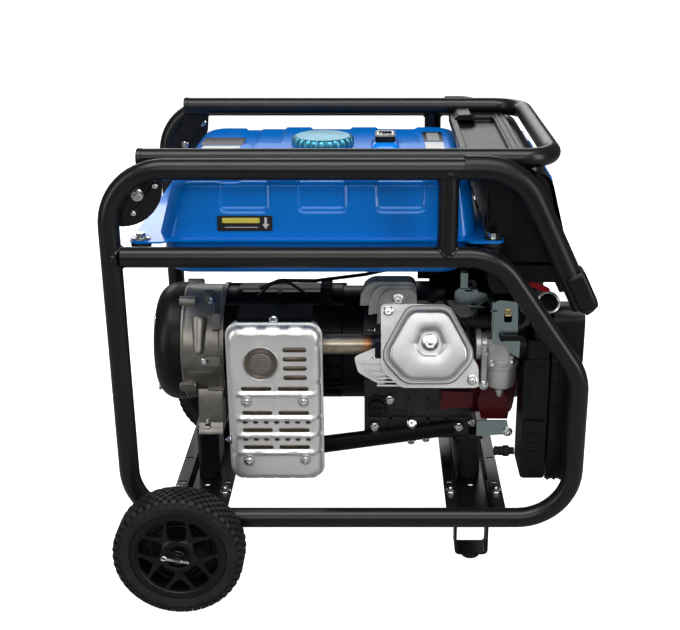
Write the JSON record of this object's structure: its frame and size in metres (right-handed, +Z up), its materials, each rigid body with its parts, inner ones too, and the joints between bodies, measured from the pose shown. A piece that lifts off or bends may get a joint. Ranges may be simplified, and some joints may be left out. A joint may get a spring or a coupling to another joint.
{
  "type": "portable generator",
  "caption": "Open-frame petrol generator: tube frame on wheels and feet, tank on top, engine and alternator inside, sloping control panel, fold-over trolley handle.",
  "frame": {"origin": "middle of the whole object's footprint, on the ground that the wheels and feet stand on", "axes": "+X along the length, from the wheels to the control panel; -Y towards the side with the muffler and valve cover; +Z up"},
  "size_m": [0.7086, 0.652, 0.69],
  "materials": {
    "frame_black": "satin black powder coat",
    "rubber": "matt black rubber",
    "tyre": "matt black moulded tyre",
    "black_plastic": "fine-textured black plastic",
    "gloss_black": "glossy black paint",
    "tank_blue": "high-gloss blue paint",
    "cap_anodised": "blue anodised, bright",
    "cast_grey": "as-cast warm grey",
    "cast_bright": "as-cast, bright",
    "cast_dark": "dark grey painted casting",
    "cover_silver": "satin silver",
    "zinc": "zinc plated",
    "dark_red": "glossy dark red",
    "red": "red plastic",
    "heat_steel": "heat-tinted steel",
    "screen": "dark display window"
  },
  "bodies": {
    "chassis": {"side_frame_near": "frame_black", "side_frame_far": "frame_black", "rail_left": "frame_black", "rail_right": "frame_black", "axle": "frame_black", "muffler_stay": "frame_black", "foot_pad_near": "rubber", "foot_pad_far": "rubber", "tank_mount_1": "rubber", "tank_mount_2": "rubber", "tank_mount_3": "rubber", "tank_mount_4": "rubber", "alternator_mount_near": "rubber", "alternator_mount_far": "rubber", "engine_mount_near": "rubber", "engine_mount_far": "rubber", "alternator_lead": "rubber", "fuel_hose": "rubber", "panel_fascia": "black_plastic", "control_box": "black_plastic", "outlet_socket_1": "black_plastic", "outlet_socket_2": "black_plastic", "alternator_cover": "black_plastic", "recoil_housing": "black_plastic", "air_cleaner": "black_plastic", "air_cleaner_cover": "black_plastic", "fuel_gauge": "black_plastic", "stator": "gloss_black", "muffler": "gloss_black", "fuel_tank": "tank_blue", "panel_plate": "tank_blue", "alternator_bracket": "cast_grey", "cylinder_head": "cast_bright", "carburettor": "cast_bright", "crankcase": "cast_dark", "cooling_cowl": "cast_dark", "valve_cover": "cover_silver", "muffler_shield": "cover_silver", "governor_plate": "zinc", "fuel_tap": "zinc", "fan_shroud": "dark_red", "exhaust_pipe": "heat_steel", "voltmeter": "screen"},
    "wheel_near": {"tyre_near": "tyre", "rim_near": "black_plastic"},
    "wheel_far": {"tyre_far": "tyre", "rim_far": "black_plastic"},
    "handle": {"trolley_handle": "frame_black"},
    "fuel_cap": {"fuel_cap": "cap_anodised"},
    "lid_1": {"outlet_lid_1": "black_plastic"},
    "lid_2": {"outlet_lid_2": "black_plastic"},
    "breaker": {"breaker_button": "gloss_black"},
    "switch": {"engine_switch": "black_plastic"},
    "crankshaft": {"rotor_shaft": "cast_dark", "flywheel_fan": "cast_grey"},
    "starter_grip": {"recoil_grip": "black_plastic"},
    "choke": {"choke_lever": "black_plastic"},
    "tap": {"fuel_tap_lever": "red"},
    "dipstick": {"oil_dipstick": "black_plastic"}
  },
  "joints": [
    {"name": "wheel_near_spin", "type": "hinge", "parent": "chassis", "child": "wheel_near", "pos_m": [-0.2563, -0.294, 0.098], "axis": [0, 1, 0], "continuous": true},
    {"name": "wheel_far_spin", "type": "hinge", "parent": "chassis", "child": "wheel_far", "pos_m": [-0.2563, 0.294, 0.098], "axis": [0, 1, 0], "continuous": true},
    {"name": "handle_fold", "type": "hinge", "parent": "chassis", "child": "handle", "pos_m": [-0.2948, 0, 0.63], "axis": [0, -1, 0], "range_deg": [0, 150]},
    {"name": "fuel_cap_turn", "type": "hinge", "parent": "chassis", "child": "fuel_cap", "pos_m": [-0.0458, 0, 0.659], "axis": [0, 0, 1], "range_deg": [0, 90]},
    {"name": "outlet_lid_1_lift", "type": "hinge", "parent": "chassis", "child": "lid_1", "pos_m": [0.29978, -0.112, 0.60802], "axis": [0, -1, 0], "range_deg": [0, 110], "stiffness_Nm_per_rad": 0.01, "springref_deg": -17.19},
    {"name": "outlet_lid_2_lift", "type": "hinge", "parent": "chassis", "child": "lid_2", "pos_m": [0.29978, -0.046, 0.60802], "axis": [0, -1, 0], "range_deg": [0, 110], "stiffness_Nm_per_rad": 0.01, "springref_deg": -17.19},
    {"name": "breaker_press", "type": "slide", "parent": "chassis", "child": "breaker", "axis": [-0.9681, 0, -0.2504], "range_m": [0, 0.003], "stiffness_N_per_m": 400, "springref_m": -0.0015},
    {"name": "engine_switch_turn", "type": "hinge", "parent": "chassis", "child": "switch", "pos_m": [0.3017, 0.066, 0.58063], "axis": [0.9681, 0, 0.2504], "range_deg": [0, 90]},
    {"name": "crankshaft_spin", "type": "hinge", "parent": "chassis", "child": "crankshaft", "pos_m": [-0.0008, 0, 0.32], "axis": [1, 0, 0], "continuous": true},
    {"name": "starter_pull", "type": "slide", "parent": "chassis", "child": "starter_grip", "axis": [0, 1, 0], "range_m": [0, 0.6], "stiffness_N_per_m": 20, "springref_m": -0.25},
    {"name": "choke_turn", "type": "hinge", "parent": "chassis", "child": "choke", "pos_m": [0.2272, -0.195, 0.402], "axis": [0, -1, 0], "range_deg": [0, 60]},
    {"name": "fuel_tap_turn", "type": "hinge", "parent": "chassis", "child": "tap", "pos_m": [0.2612, -0.166, 0.476], "axis": [0, 1, 0], "range_deg": [0, 90]},
    {"name": "dipstick_turn", "type": "hinge", "parent": "chassis", "child": "dipstick", "pos_m": [0.0399, -0.116, 0.2515], "axis": [0, -1, 0], "range_deg": [0, 360]}
  ]
}
